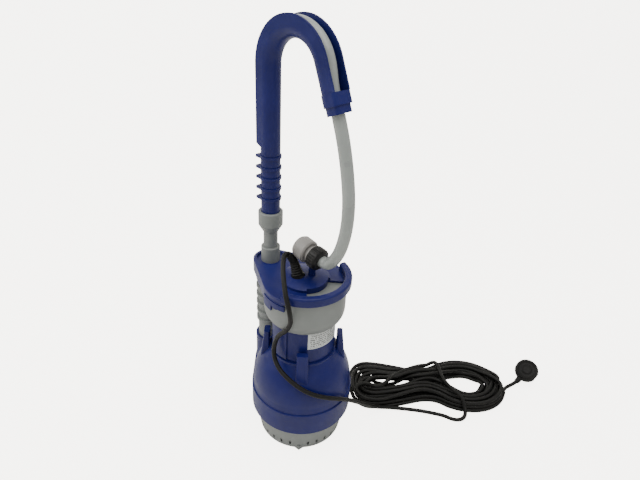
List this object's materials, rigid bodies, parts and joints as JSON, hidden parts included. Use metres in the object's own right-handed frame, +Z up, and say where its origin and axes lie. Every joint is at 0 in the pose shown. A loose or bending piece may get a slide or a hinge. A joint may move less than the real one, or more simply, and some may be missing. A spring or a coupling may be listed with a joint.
{
  "type": "submersible rain barrel pump",
  "caption": "Submersible rain-barrel pump with a strainer foot, a swivelling hose-guide hook, a hose with a quick coupler, and a mains lead laid in a hank with its plug.",
  "frame": {"origin": "centre of the face the pump stands on, on the pump's axis", "axes": "+Z up along the pump's axis; +X from the riser pipe to the pump's axis, which is the way the hook reaches"},
  "size_m": [0.364, 0.4817, 0.6452],
  "materials": {
    "blue_plastic": "moulded, satin, fine grain",
    "grey_plastic": "moulded, satin",
    "coupler_grey": "moulded, satin",
    "black_plastic": "moulded, satin",
    "rubber": "matte",
    "lead_rubber": "matte cable sheath",
    "hose": "smooth flexible PVC",
    "label": "printed film",
    "steel": "bright",
    "alloy": "plain",
    "core_iron": "varnished laminations",
    "copper": "enamelled copper wire"
  },
  "bodies": {
    "pump": {"volute_housing": "blue_plastic", "suction_plate": "black_plastic", "plate_screws": "steel", "diffuser": "black_plastic", "motor_housing": "blue_plastic", "rating_label": "label", "motor_can": "steel", "bearing_bracket": "alloy", "lower_bearing": "steel", "upper_bearing": "steel", "shaft_seal": "rubber", "stator_core": "core_iron", "windings": "copper", "motor_lid": "black_plastic", "lid_ring": "rubber", "capacitor": "alloy", "terminal_block": "grey_plastic", "collar": "grey_plastic", "top_cover": "blue_plastic", "gland_nut": "black_plastic", "gland_boot": "rubber", "riser_sleeve": "grey_plastic", "outlet_union": "grey_plastic", "outlet_pipe": "grey_plastic", "valve_seat": "black_plastic", "valve_guide": "black_plastic", "power_lead": "lead_rubber", "lead_tail": "lead_rubber", "lead_hank": "lead_rubber", "plug_body": "rubber", "plug_pins": "steel", "earth_contacts": "steel"},
    "rotor": {"shaft": "steel", "rotor_core": "core_iron", "impeller": "black_plastic", "impeller_nut": "steel"},
    "hook": {"hose_guide": "blue_plastic", "guide_end_collar": "blue_plastic", "hose_in_guide": "hose", "hose_free": "hose", "coupler_nut": "black_plastic", "coupler_body": "coupler_grey", "coupler_ring": "rubber"},
    "release_sleeve": {"coupler_sleeve": "coupler_grey"},
    "foot": {"strainer_foot": "grey_plastic", "filter_screen": "steel"},
    "poppet": {"valve_poppet": "black_plastic", "valve_spring": "steel"}
  },
  "joints": [
    {"name": "rotor_spin", "type": "hinge", "parent": "pump", "child": "rotor", "pos_m": [0, 0, 0.15], "axis": [0, 0, 1], "continuous": true},
    {"name": "hook_swivel", "type": "hinge", "parent": "pump", "child": "hook", "pos_m": [-0.08, 0, 0.36], "axis": [0, 0, 1], "range_deg": [0, 100]},
    {"name": "sleeve_release", "type": "slide", "parent": "hook", "child": "release_sleeve", "axis": [0.9903, 0, -0.1392], "range_m": [0, 0.004], "stiffness_N_per_m": 400, "springref_m": -0.003},
    {"name": "foot_twist", "type": "hinge", "parent": "pump", "child": "foot", "pos_m": [0, 0, 0.025], "axis": [0, 0, 1], "range_deg": [0, 20]},
    {"name": "valve_lift", "type": "slide", "parent": "pump", "child": "poppet", "axis": [0, 0, 1], "range_m": [0, 0.003], "stiffness_N_per_m": 150, "springref_m": -0.004, "deforming": ["valve_spring"]}
  ]
}
